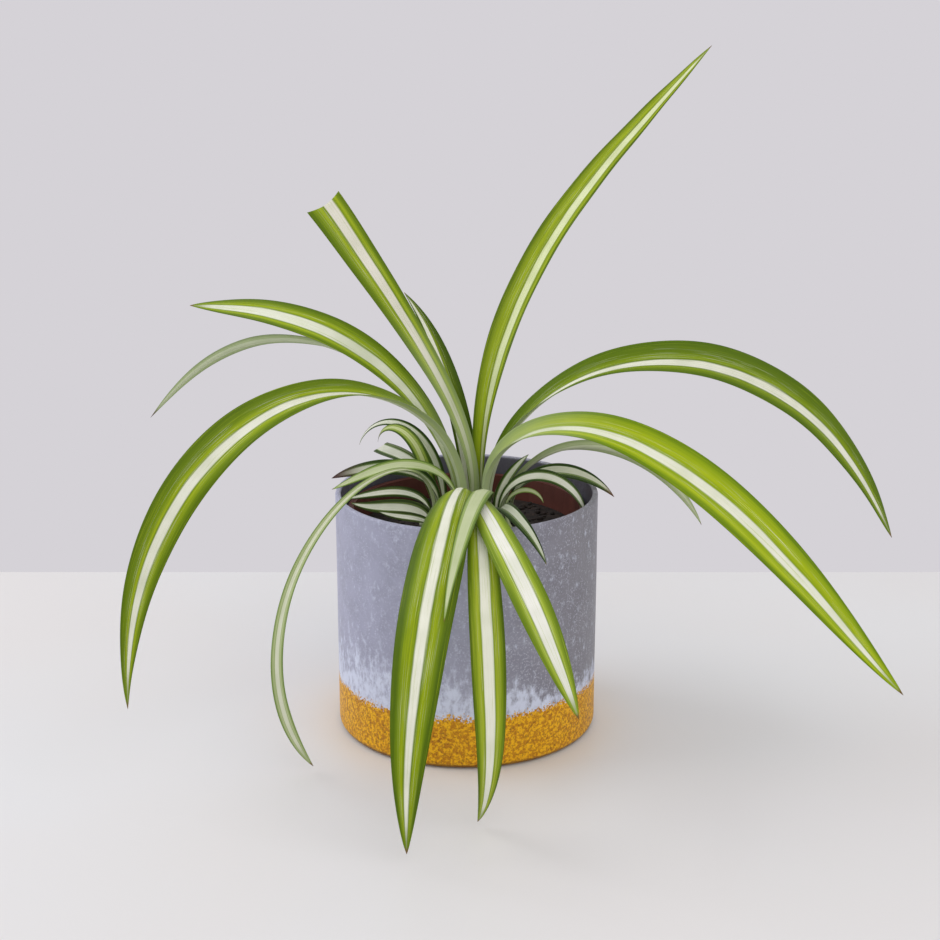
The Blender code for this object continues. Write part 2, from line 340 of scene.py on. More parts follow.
@dataclass(frozen=True)
class DrippedGlaze:
    """The cover pot's glaze: lavender grey, with a pale band that has run, and mustard below, with
    painted shade on its right side and on its inside.
    """

    body: int = 0xAAACC2
    shade_grey: int = 0x84838A         # painted shade: the darker grey of the body on the side away from the window
    # painted shade: the dark grey of the pot's inside, also mixed faintly into the body's mottling
    inside: int = 0x54525C
    speck: int = 0xD0D4E4
    band: int = 0xD6DDF0
    mustard: int = 0xF4BA0C
    amber: int = 0xBC7C06
    fleck: int = 0x74480A
    foot_line: int = 0x7B5214
    clay: int = 0xC9B59A
    mustard_top: float = 28.0   # millimetres above the table
    band_width: float = 15.0
    foot_line_top: float = 3.4
    bare_clay_top: float = 0.5
    shade_from: float = 0.066     # where the painted shade is full, in metres to the right of the axis
    shade_to: float = -0.03
    relief: float = 0.00035     # metres
    specular: float = 0.3

    def material(self, radius: float, wall: float) -> bpy.types.Material:
        """Make the glaze.

        Args:
            radius: The pot's outer radius in millimetres.
            wall: The wall's thickness in millimetres.

        Returns:
            The material.
        """
        graph = Graph("cover_pot_glaze")
        place = graph.place()
        x, y, z = graph.split(place)[:3]
        height = graph.math("MULTIPLY", z, 1000.0)
        coarse = graph.noise(place, 70.0, 4.0, 0.6)
        runny = graph.noise(graph.scaled(place, (1.0, 1.0, 0.35)), 190.0, 4.0, 0.6)
        fine = graph.noise(place, 900.0, 3.0, 0.6)
        specks = graph.cells(place, 760.0)
        lift = graph.math("MULTIPLY_ADD", coarse, 7.0, -3.5)
        ragged = graph.math("MULTIPLY_ADD", runny, 16.0, -8.0)
        powder = graph.math("MULTIPLY_ADD", fine, 15.0, -7.5)
        # Painted shade: the body turns to the darker grey towards its right side, away from the
        # window; the same mask also widens the pale band on the left.
        left = graph.step(x, self.shade_from, self.shade_to)

        grey = graph.mix(left, paint(self.shade_grey), paint(self.body))
        grey = graph.mix(graph.step(coarse, 0.3, 0.7, 0.0, 0.2), grey, paint(self.inside))
        dots = graph.math("MULTIPLY", graph.step(specks, 0.34, 0.2), graph.step(runny, 0.38, 0.58))
        dusty = graph.step(coarse, 0.36, 0.62, 0.35, 1.0)
        dust = graph.math("MULTIPLY", graph.step(fine, 0.54, 0.64), dusty)
        speck = graph.math("MAXIMUM", dots, graph.math("MULTIPLY", dust, 0.6))
        grey = graph.mix(graph.math("MULTIPLY", speck, 0.45), grey, paint(self.speck))

        above = graph.math("SUBTRACT", height, self.mustard_top)
        above = graph.math("ADD", above, lift)
        reach = graph.math("MULTIPLY_ADD", left, self.band_width, self.band_width * 0.45)
        share = graph.math("DIVIDE", graph.math("ADD", above, ragged), reach)
        drips = graph.noise(graph.scaled(place, (1.0, 1.0, 0.6)), 300.0, 4.0, 0.65)
        running = graph.math("MULTIPLY_ADD", drips, 3.2, -1.6)
        cover = graph.math("ADD", graph.step(share, 1.9, 0.0), running)
        band = graph.math("MULTIPLY", graph.step(cover, 0.1, 1.15), 0.95)
        colour = graph.mix(band, grey, paint(self.band))

        grain = graph.noise(place, 560.0, 3.0, 0.75)
        ochre = graph.mix(graph.step(grain, 0.42, 0.60), paint(self.amber), paint(self.mustard))
        flecks = graph.step(graph.noise(place, 700.0, 3.0, 0.6), 0.56, 0.66, 0.0, 0.62)
        ochre = graph.mix(flecks, ochre, paint(self.fleck))
        powdered = graph.math("ADD", above, graph.math("MULTIPLY_ADD", ragged, 0.2, powder))
        below = graph.step(powdered, 0.7, -0.7)
        colour = graph.mix(below, colour, ochre)
        foot = graph.step(height, self.foot_line_top, 1.6, 0.0, 0.8)
        colour = graph.mix(foot, colour, paint(self.foot_line))
        colour = graph.mix(graph.step(height, self.bare_clay_top, 0.2), colour, paint(self.clay))

        # Painted shade: the inside of the wall and the floor take the dark inside grey.
        out = graph.math("SQRT", graph.math("MULTIPLY_ADD", x, x, graph.math("MULTIPLY", y, y)))
        inner = (radius - wall + 0.6) * MM
        inside_shade = graph.step(out, inner, inner - 0.0008)
        inside_shade = graph.math("MULTIPLY", inside_shade, graph.step(height, 1.0, 3.0))
        colour = graph.mix(inside_shade, colour, paint(self.inside))

        relief = graph.math("MULTIPLY_ADD", below, graph.math("MULTIPLY", grain, 1.4), band)
        relief = graph.math("MULTIPLY_ADD", fine, 0.35, relief)
        graph.bump(relief, self.relief, 0.6)
        gloss = graph.math("MULTIPLY_ADD", fine, 0.18, 0.36)
        return graph.finish(colour, gloss, self.specular)


@dataclass(frozen=True)
class MouldedPlastic:
    """The grower's pot: matt red-brown plastic with faint moulding rings."""

    colour: int = 0x5C2C22
    worn: int = 0x763F32
    relief: float = 0.0002      # metres

    def material(self) -> bpy.types.Material:
        """Make the plastic.

        Returns:
            The material.
        """
        graph = Graph("grower_pot_plastic")
        place = graph.place()
        blotch = graph.noise(place, 60.0, 3.0)
        grain = graph.noise(place, 1800.0, 2.0)
        rings = graph.noise(graph.scaled(place, (0.0, 0.0, 1.0)), 900.0, 2.0)
        wear = graph.step(blotch, 0.35, 0.7, 0.0, 0.5)
        colour = graph.mix(wear, paint(self.colour), paint(self.worn))
        ridges = graph.math("MULTIPLY_ADD", rings, 0.6, graph.math("MULTIPLY", grain, 0.4))
        graph.bump(ridges, self.relief, 0.5)
        gloss = graph.math("MULTIPLY_ADD", grain, 0.15, 0.45)
        return graph.finish(colour, gloss)


@dataclass(frozen=True)
class Crumb:
    """The compost: dark, damp, with lighter fibres."""

    dark: int = 0x120D0A
    light: int = 0x2E2018
    fibre: int = 0x4A382A
    relief: float = 0.0012      # metres

    def material(self) -> bpy.types.Material:
        """Make the compost.

        Returns:
            The material.
        """
        graph = Graph("compost_crumb")
        place = graph.place()
        lumps = graph.noise(place, 160.0, 5.0, 0.65)
        fibres = graph.noise(graph.scaled(place, (1.0, 0.25, 1.0)), 900.0, 3.0)
        colour = graph.mix(graph.step(lumps, 0.35, 0.68), paint(self.dark), paint(self.light))
        colour = graph.mix(graph.step(fibres, 0.62, 0.7, 0.0, 0.6), colour, paint(self.fibre))
        rough = graph.math("MULTIPLY_ADD", lumps, 0.7, graph.math("MULTIPLY", fibres, 0.3))
        graph.bump(rough, self.relief, 0.8)
        return graph.finish(colour, graph.math("MULTIPLY_ADD", lumps, -0.25, 0.98))


@dataclass(frozen=True)
class PaleTop:
    """The table's painted top."""

    colour: int = 0xE6E8E7
    warm: int = 0xE6E5E2
    relief: float = 0.0001      # metres

    def material(self) -> bpy.types.Material:
        """Make the paint.

        Returns:
            The material.
        """
        graph = Graph("table_paint")
        place = graph.place()
        cloud = graph.noise(place, 3.0, 3.0)
        colour = graph.mix(graph.step(cloud, 0.3, 0.7), paint(self.colour), paint(self.warm))
        graph.bump(graph.noise(place, 400.0, 2.0), self.relief, 0.2)
        return graph.finish(colour, 0.5)


# ---------------------------- meshes


def piece(
    name: str,
    points: Any,
    faces: Sequence[Sequence[int]],
    material: bpy.types.Material,
    node: str | None = None,
    numbers: dict[str, Any] | None = None,
) -> bpy.types.Object:
    """Make a smooth mesh piece that rides on the plant's body.

    Args:
        name: The piece's name.
        points: Its points, in metres.
        faces: Its faces, as numbers of points.
        material: Its material.
        node: The CAD node that it stands for.
        numbers: Numbers to store on the points, by attribute name.

    Returns:
        The new object.
    """
    mesh = bpy.data.meshes.new(name)
    mesh.from_pydata([tuple(p) for p in points], [], [tuple(f) for f in faces])
    mesh.update()
    for key, values in (numbers or {}).items():
        stored = mesh.attributes.new(key, "FLOAT", "POINT")
        stored.data.foreach_set("value", np.asarray(values, np.float32))
    mesh.materials.append(material)
    mesh.shade_smooth()
    made = bpy.data.objects.new(name, mesh)
    bpy.context.scene.collection.objects.link(made)
    if node:
        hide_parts(node)
        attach(made, BODY)
    log.info("%s: %d faces", name, len(faces))
    return made


def arc(
    centre: tuple[float, float], radius: float, start: float, end: float, steps: int
) -> Profile:
    """Return the points of a round corner in a profile, from one angle to another in degrees."""
    angles = np.radians(np.linspace(start, end, steps + 1))
    return [(centre[0] + radius * math.cos(a), centre[1] + radius * math.sin(a)) for a in angles]


def turned(profile: Profile, steps: int, shape: Shape) -> tuple[list, list]:
    """Turn a profile about Z into a closed mesh.

    Args:
        profile: Radius and height of each point, in millimetres, from the axis over the inside to
            the rim, down the outer side and back to the axis.
        steps: Points in each ring.
        shape: Returns how far a point is moved outwards, from its radius, height and angle.

    Returns:
        The points in metres, and the faces.
    """
    rings = profile[1:-1]
    points = [(0.0, 0.0, profile[0][1] * MM)]
    for radius, height in rings:
        for k in range(steps):
            turn = 2 * math.pi * k / steps
            out = (radius + shape(radius, height, turn)) * MM
            points.append((out * math.cos(turn), out * math.sin(turn), height * MM))
    points.append((0.0, 0.0, profile[-1][1] * MM))
    last = len(points) - 1
    faces = []
    for k in range(steps):
        after = (k + 1) % steps
        faces.append((0, 1 + k, 1 + after))
        for ring in range(len(rings) - 1):
            a, b = 1 + ring * steps, 1 + (ring + 1) * steps
            faces.append((a + k, b + k, b + after, a + after))
        foot = 1 + (len(rings) - 1) * steps
        faces.append((last, foot + after, foot + k))
    return points, faces


def bezier(controls: Sequence[float], s: Any) -> Any:
    """Return a smooth value along a blade: a Bezier curve through its first and last controls."""
    n = len(controls) - 1
    return sum(math.comb(n, i) * (1 - s) ** (n - i) * s ** i * c for i, c in enumerate(controls))


# ---------------------------- pots and compost


@dataclass
class CoverPot:
    """The glazed pot, turned from one profile that is slightly out of true, as thrown pots are."""

    wall: float = 3.0
    floor: float = 7.0
    cove: float = 6.0
    foot_round: float = 4.0
    rim_round: float = 1.3
    flat: tuple[float, float] = (20.0, 42.0)    # radii of the rings in the floor and underside
    steps: int = 224
    wobble: float = 0.12
    level_below: float = 1.0    # height under which the pot is true, so that it stands level
    finish: DrippedGlaze = field(default_factory=DrippedGlaze)

    def profile(self, radius: float, height: float) -> Profile:
        """Draw the pot's section.

        Args:
            radius: The outer radius in millimetres.
            height: The height in millimetres.

        Returns:
            Its points, from the floor's middle over the rim to the underside's middle.
        """
        inside = radius - self.wall
        rim = height - self.rim_round
        near, far = self.flat
        points = [(0.0, self.floor), (near, self.floor), (far, self.floor)]
        points += arc((inside - self.cove, self.floor + self.cove), self.cove, -90, 0, 6)
        points += [(inside, z) for z in np.linspace(20, height - 6, 12)]
        points += arc((inside + self.rim_round, rim), self.rim_round, 180, 90, 6)
        points += arc((radius - self.rim_round, rim), self.rim_round, 90, 0, 6)
        points += [(radius, z) for z in np.linspace(height - 6, 8, 24)]
        points += arc((radius - self.foot_round, self.foot_round), self.foot_round, 0, -90, 8)
        return points + [(far, 0.0), (near, 0.0), (0.0, 0.0)]

    def out_of_true(self, radius: float, height: float, turn: float) -> float:
        """Tell how far the wall is pushed out at a place.

        Args:
            radius: The place's radius in millimetres, which every shape is given; it is not used
                here.
            height: Its height in millimetres.
            turn: Its angle in radians.

        Returns:
            The push in millimetres.
        """
        if height < self.level_below:
            return 0.0
        place = Vector((math.cos(turn) * 0.9, math.sin(turn) * 0.9, height * 0.02))
        return self.wobble * noise.noise(place) * min(1.0, height / 20)

    def build(self) -> bpy.types.Object:
        """Make the pot in the place of its CAD node.

        Returns:
            The new object.
        """
        low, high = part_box("cover_pot")
        radius, height = (high.x - low.x) / 2 / MM, high.z / MM
        points, faces = turned(self.profile(radius, height), self.steps, self.out_of_true)
        material = self.finish.material(radius, self.wall)
        return piece("cover_pot_glazed", points, faces, material, "cover_pot")


@dataclass
class GrowerPot:
    """The plastic pot inside, whose CAD solid is kept and finished."""

    finish: MouldedPlastic = field(default_factory=MouldedPlastic)

    def dress(self) -> None:
        """Give the CAD solid its plastic."""
        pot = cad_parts["grower_pot"]
        pot.data.materials.clear()
        pot.data.materials.append(self.finish.material())


@dataclass
class Compost:
    """Compost with an uneven top, and crumbs lying on it."""

    rings: int = 30
    steps: int = 120
    unevenness: float = 1.6
    sunk: float = 1.2           # how far the top lies below the CAD node's
    settled: float = 5.0        # width of the even strip along the pot's wall
    inset: float = 3.0          # least distance of a crumb from the wall
    foot_share: float = 0.8     # radius of the underside, as a share of the top's
    crumbs: int = 420
    seed: int = 7
    finish: Crumb = field(default_factory=Crumb)

    def top(self, x: float, y: float, radius: float) -> float:
        """Tell how the compost's top lies at a place.

        Args:
            x: The place's X in millimetres.
            y: Its Y in millimetres.
            radius: The top's radius in millimetres.

        Returns:
            The height above the CAD node's top, in millimetres.
        """
        lump = noise.fractal(Vector((x, y, 0.0)) * 0.09, 0.8, 2.0, 4)
        fine = noise.noise(Vector((x, y, 5.0)) * 0.5)
        settle = 1 - max(0.0, (math.hypot(x, y) - radius + self.settled) / self.settled)
        return (self.unevenness * lump + 0.5 * fine) * settle - self.sunk

    def body(
        self, top_radius: float, foot_radius: float, top: float, foot: float
    ) -> tuple[list, list]:
        """Make the block of compost.

        Args:
            top_radius: The top's radius in millimetres.
            foot_radius: The underside's radius in millimetres.
            top: The top's height in millimetres.
            foot: The underside's height in millimetres.

        Returns:
            The points in metres, and the faces.
        """
        shares = np.linspace(1 / self.rings, 1, self.rings)
        profile = [(0.0, top)] + [(top_radius * share, top) for share in shares]
        profile += [(top_radius + (foot_radius - top_radius) * share, top + (foot - top) * share)
                    for share in np.linspace(0.05, 1, 12)]
        profile += [(foot_radius / 2, foot), (0.0, foot)]
        points, faces = turned(profile, self.steps, lambda *_: 0.0)
        for i, (x, y, z) in enumerate(points):
            if z > (top - 0.1) * MM:
                points[i] = (x, y, z + self.top(x / MM, y / MM, top_radius) * MM)
        return points, [face[::-1] for face in faces]

    def crumb(self, at: Vector, size: Vector, turn: float, shift: float) -> list[Vector]:
        """Make one lump: a small ball pushed in and out.

        Args:
            at: Its centre in millimetres.
            size: Its half sizes in millimetres.
            turn: Its turn about Z in radians.
            shift: A number of its own, so that no two are alike.

        Returns:
            Its points in metres.
        """
        points = []
        for corner in ICOSAHEDRON:
            rough = 1 + 0.35 * noise.noise(corner * 2 + Vector((shift, 0, 0)))
            local = Vector((corner.x * size.x, corner.y * size.y, corner.z * size.z)) * rough
            spin = Vector((
                local.x * math.cos(turn) - local.y * math.sin(turn),
                local.x * math.sin(turn) + local.y * math.cos(turn),
                local.z,
            ))
            points.append((at + spin) * MM)
        return points

    def build(self) -> bpy.types.Object:
        """Make the compost in the place of its CAD node.

        Returns:
            The new object.
        """
        low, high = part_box("compost")
        radius, top, foot = high.x / MM, high.z / MM, low.z / MM
        points, faces = self.body(radius, radius * self.foot_share, top, foot)
        draw = np.random.default_rng(self.seed)
        for number in range(self.crumbs):
            turn = draw.uniform(0, 2 * math.pi)
            out = (radius - self.inset) * math.sqrt(draw.uniform())
            x, y = out * math.cos(turn), out * math.sin(turn)
            long = draw.uniform(0.6, 2.3) ** 1.2
            size = Vector((long, long * draw.uniform(0.4, 0.9), long * draw.uniform(0.3, 0.7)))
            at = Vector((x, y, top + self.top(x, y, radius) + size.z * 0.2))
            start = len(points)
            points += self.crumb(at, size, draw.uniform(0, 6.3), number * 1.7)
            faces += [[start + i for i in face] for face in ICOSAHEDRON_FACES]
        return piece("compost_top", points, faces, self.finish.material(), "compost")


def icosahedron() -> tuple[list[Vector], list[tuple[int, ...]]]:
    """Make a ball of twenty triangles.

    Returns:
        Its corners, and its faces wound outwards.
    """
    golden = (1 + math.sqrt(5)) / 2
    corners = [Vector(c).normalized() for a in (-1, 1) for b in (-golden, golden)
               for c in ((0, a, b), (a, b, 0), (b, 0, a))]
    edge = min((corners[0] - c).length for c in corners[1:]) * 1.01
    faces = []
    for i in range(12):
        for j in range(i + 1, 12):
            for k in range(j + 1, 12):
                a, b, c = corners[i], corners[j], corners[k]
                if max((a - b).length, (b - c).length, (a - c).length) < edge:
                    outward = (b - a).cross(c - a).dot(a) > 0
                    faces.append((i, j, k) if outward else (i, k, j))
    return corners, faces


ICOSAHEDRON, ICOSAHEDRON_FACES = icosahedron()


# ---------------------------- leaves

FOOT_LEVEL = 106.65         # height at which a blade leaves the compost
BURIED = 2.0                # how far a blade's foot runs on into the compost
BLADE_NECK = 0.42           # width at the foot, as a share of the full width
BLADE_TAPER = (2.0, 0.85)   # powers that shape the way from the widest place to the tip
BLADE_POINT = 0.12          # width of the point
MIDRIB_STEPS = 600
COLUMN_CROWD = 1.25         # how much the columns of points crowd towards the margins
KEEL_ROUND = 0.02           # how round the fold along the midrib is
GUTTER_END = 0.3            # share of the length over which the fold is a rounded gutter
NOTCH_POWER = 12            # how suddenly a cut end's notch begins
RIPPLE_PACE = 0.11          # radians of ripple in a millimetre
RIPPLE_WIDTH = 4.0          # half width under which the ripple dies away
MARGIN_DROP = 0.08          # how far the margins turn down, in half widths
MARGIN_FLESH = 0.45         # thickness at the margins, as a share of that at the midrib
KEEL_DEPTH = 0.5            # what the keel below the midrib adds, in thicknesses
KEEL_WIDTH = 0.1            # in half widths
THIN_WIDTH = 3.0            # width under which a blade grows thinner
THINNEST = 0.25             # least thickness, as a share of the full one


class GrowthAndShade(Enum):
    """How a leaf of the rosette has grown, which sets its finish; the darker sets also carry
    painted shade, on the leaf at the back and on the young leaves deep in the crown.
    """

    STRIPED = Variegation(shift=-0.12, pale_base=0.3, base_fade=0.7)
    CLIPPED = Variegation(cream=0xF0EDDE, stripe=0.27, shift=0.15, halo=0.34, pale_base=0.5,
        base_fade=0.75)
    # painted shade: darker greens for the leaf at the back of the rosette
    SHADY = Variegation(edge=0x3C5602, green=0x586E0A, glow=0x88A014, stripe=0.3, shift=-0.4)
    DEEP = Variegation(edge=0x506C02, green=0x668006, glow=0x88A014, stripe=0.24, shift=0.16)
    BROAD = Variegation(cream=0xEAEED8, stripe=0.34, shift=-0.1, halo=0.26, pale_base=0.4,
        base_fade=0.75)
    BRIGHT = Variegation(edge=0x688606, green=0x8CA60C, glow=0xB4C61A, shift=0.12, halo=0.5,
        pale_base=0.4, base_fade=0.9)
    PALE = Variegation(edge=0x6A8636, green=0x9CAE70, glow=0xBECA96, cream=0xE0E4CA, stripe=0.34,
        halo=0.3)
    VIVID = Variegation(edge=0x566E04, green=0x788E0E, glow=0xA4B81E, cream=0xE6EEBE, stripe=0.28,
        shift=0.25, halo=0.5)
    OLIVE = Variegation(edge=0x4E6800, green=0x6A8404, glow=0x9CB00E, stripe=0.18, halo=0.34,
        margin=0.1)
    WHITE = Variegation(edge=0x647E12, green=0x829A22, glow=0xB2C644, cream=0xF8F9EE, stripe=0.36,
        halo=0.2)
    FRESH = Variegation(edge=0x566E08, green=0x7E960E, glow=0xACBC34, stripe=0.30, halo=0.3)
    FADED = Variegation(edge=0x587428, green=0x86A04C, glow=0xAEC07A, cream=0xC8D2A6, stripe=0.56,
        halo=0.2)
    GREY = Variegation(edge=0x4E6622, green=0x7E9650, glow=0xB0BC88, cream=0xD4D8C0, dry=0x5E4636,
        stripe=0.4, dry_tip=0.04)
    # painted shade: the young crown's sets from here on have far darker edges and greens, for the
    # shade deep in the crown
    YOUNG_SHADED = Variegation(edge=0x223408, green=0x40581A, glow=0x7E9050, cream=0xE8ECDA, stripe=0.46,
        halo=0.12, margin=0.13)
    LIME = Variegation(edge=0x34500E, green=0x7C962C, glow=0xA8B858, cream=0xCCD698, stripe=0.3,
        margin=0.12, dry=0x6E6A5A, dry_tip=0.12)
    CREAM = Variegation(edge=0x28400E, green=0x5E7C30, glow=0xAEBC88, cream=0xF0F2E2, stripe=0.5,
        halo=0.1, margin=0.14)
    HALF = Variegation(edge=0x22380A, green=0x38521A, glow=0x7C9056, cream=0xD2D9C0, stripe=0.42,
        shift=-0.3, margin=0.1)
    DRYING = Variegation(edge=0x2C4212, green=0x405E1C, glow=0x96AA6C, cream=0xDCE0C8, dry=0x4A3230,
        stripe=0.46, halo=0.12, dry_tip=0.28, margin=0.14)
    WITHERING = Variegation(edge=0x243A0C, green=0x3E5A1A, glow=0x8CA05A, cream=0xD6DAC2,
        dry=0x6A4432, stripe=0.42, shift=-0.3, dry_tip=0.12, margin=0.12)


@dataclass
class Leaf:
    """One blade, in millimetres and degrees. Lists of controls run from the foot to the tip."""

    name: str
    foot: tuple[float, float]
    length: float
    width: float
    heading: tuple[float, ...]      # 0 is +X and 90 is +Y
    rise: tuple[float, ...]         # above level
    roll: tuple[float, ...] = (0, 0, 0)
    belly: float = 0.4              # how far along the blade is at its widest
    fold: tuple[float, ...] = (55, 20, 8)
    cut: float = 1.0                # share of the blade that is left where its end is cut off
    notch: float = 0.0              # how far the middle of a cut end lies behind its corners
    ripple: float = 0.25
    growth_and_shade: GrowthAndShade = GrowthAndShade.STRIPED
    slot: str = "leaf_striped"
    rows: int = 110
    columns: int = 12
    thickness: float = 0.5

    def widths(self, s: Any) -> Any:
        """Work out the blade's full width.

        Args:
            s: Shares of the length.

        Returns:
            The width at each, in millimetres.
        """
        s = s * self.cut
        rise = np.minimum(s / self.belly, 1.0)
        fall = np.clip((s - self.belly) / (1 - self.belly), 0.0, 1.0)
        swell = BLADE_NECK + (1 - BLADE_NECK) * rise * rise * (3 - 2 * rise)
        taper = (1 - fall ** BLADE_TAPER[0]) ** BLADE_TAPER[1]
        return np.maximum(self.width * swell * taper, BLADE_POINT)

    def frames(self, s: Any) -> tuple[Any, Any, Any]:
        """Work out which ways the blade faces.

        Args:
            s: Shares of the length.

        Returns:
            The directions along, across to the left and up at each.
        """
        controls = (self.heading, self.rise, self.roll)
        heading, rise, roll = (np.radians(bezier(row, s)) for row in controls)
        level_share = np.cos(rise)
        along = np.stack(
            [level_share * np.cos(heading), level_share * np.sin(heading), np.sin(rise)], -1)
        level = np.stack([-np.sin(heading), np.cos(heading), 0 * heading], -1)
        normal = np.cross(along, level)
        cosine, sine = np.cos(roll)[..., None], np.sin(roll)[..., None]
        return along, level * cosine + normal * sine, normal * cosine - level * sine

    def dip(self) -> float:
        """Work out how far the foot's lower margin hangs below its midrib.

        Returns:
            The drop in millimetres.
        """
        _, across, up = self.frames(np.zeros(1))
        fold = math.radians(self.fold[0])
        outwards, upwards = across[0, 2] * math.cos(fold), up[0, 2] * math.sin(fold)
        lowest = min(upwards - outwards, upwards + outwards)
        return max(0.0, -lowest) * float(self.widths(0.0)) / 2

    def midrib(self, s: Any) -> Any:
        """Follow the midrib.

        Args:
            s: Shares of the length.

        Returns:
            The point at each, in millimetres.
        """
        fine = np.linspace(0, 1, MIDRIB_STEPS + 1)
        steps = self.frames((fine[1:] + fine[:-1]) / 2)[0] * self.length / MIDRIB_STEPS
        foot = np.array([*self.foot, FOOT_LEVEL + self.dip()])
        track = np.vstack([foot, foot + np.cumsum(steps, axis=0)])
        return np.stack([np.interp(s, fine, track[:, i]) for i in range(3)], -1)

    def skin(self) -> tuple[Any, Any, Any]:
        """Bend and fold the blade's middle surface.

        Returns:
            Its points in millimetres, its normals and how far across each column lies.
        """
        s = np.linspace(0, 1, self.rows + 1)
        u = np.sin(np.linspace(-1, 1, self.columns + 1) * COLUMN_CROWD) / math.sin(COLUMN_CROWD)
        grid_s = np.repeat(s[:, None], len(u), 1)
        if self.notch:
            back = self.notch / self.length * (1 - u ** 2) * s[:, None] ** NOTCH_POWER
            grid_s = grid_s - back
        half = self.widths(grid_s) / 2
        fold = np.radians(bezier(self.fold, grid_s))
        along, across, up = self.frames(grid_s)
        keel = np.sqrt(u ** 2 + KEEL_ROUND) - math.sqrt(KEEL_ROUND)
        gutter = np.clip(1 - grid_s / GUTTER_END, 0, 1)
        lift = (keel + gutter * (u ** 2 - keel)) * np.sin(fold)
        wave = self.ripple * np.sin(grid_s * self.length * RIPPLE_PACE + len(self.name)) * u ** 2
        wave /= np.maximum(half, 1)
        lift = lift - MARGIN_DROP * u ** 4 + wave * np.minimum(half / RIPPLE_WIDTH, 1)
        points = self.midrib(grid_s) - across * (half * u * np.cos(fold))[..., None]
        points += up * (half * lift)[..., None]
        points[0] -= along[0] * BURIED
        step_s, step_u = np.gradient(points, axis=0), np.gradient(points, axis=1)
        normals = np.cross(step_u, step_s)
        normals /= np.maximum(np.linalg.norm(normals, axis=-1, keepdims=True), 1e-9)
        return points, normals, u

    def build(self) -> bpy.types.Object:
        """Make the blade in the place of its CAD node, as a closed skin thickest along its keel.

        Returns:
            The new object.
        """
        points, normals, u = self.skin()
        rows, columns = points.shape[:2]
        flesh = self.thickness * (MARGIN_FLESH + (1 - MARGIN_FLESH) * (1 - u ** 2)) / 2
        keel = KEEL_DEPTH * np.exp(-(u / KEEL_WIDTH) ** 2) * self.thickness
        widths = self.widths(np.linspace(0, 1, rows))
        taper = np.clip(widths / THIN_WIDTH, THINNEST, 1)[:, None]
        above = points + normals * (flesh * taper)[..., None]
        under = points - normals * ((flesh + keel) * taper)[..., None]
        count = rows * columns
        at = np.arange(count).reshape(rows, columns)
        quads = np.stack([at[:-1, :-1], at[:-1, 1:], at[1:, 1:], at[1:, :-1]], -1).reshape(-1, 4)
        faces = quads.tolist() + (quads[:, ::-1] + count).tolist()
        loop = [*at[0, :-1], *at[:-1, -1], *at[-1, :0:-1], *at[:0:-1, 0]]
        faces += [(a, a + count, b + count, b) for a, b in zip(loop, loop[1:] + loop[:1])]
        along = np.repeat(np.linspace(0, self.cut, rows), columns)
        numbers = {
            "across": np.tile(np.tile(u, rows), 2),
            "along": np.tile(along, 2),
            "below": np.repeat([0.0, 1.0], count),
        }
        shape = np.vstack([above.reshape(-1, 3), under.reshape(-1, 3)]) * MM
        seed = len(self.name) * 1.3 + self.foot[0]
        material = self.growth_and_shade.value.material(self.name + "_finish", self.length, self.width, seed)
        return piece(self.name + "_blade", shape, faces, material, self.name, numbers)


def young(name: str, *sizes: Any, growth_and_shade: GrowthAndShade = GrowthAndShade.YOUNG_SHADED, **more: Any) -> Leaf:
    """Return a young leaf of the crown: fewer rows, thinner and darker than the full-grown ones,
    the darkness being painted shade.
    """
    settings = {"slot": "leaf_young", "rows": 60, "columns": 10, "thickness": 0.4, "ripple": 0.15}
    return Leaf(name, *sizes, growth_and_shade=growth_and_shade, **settings, **more)


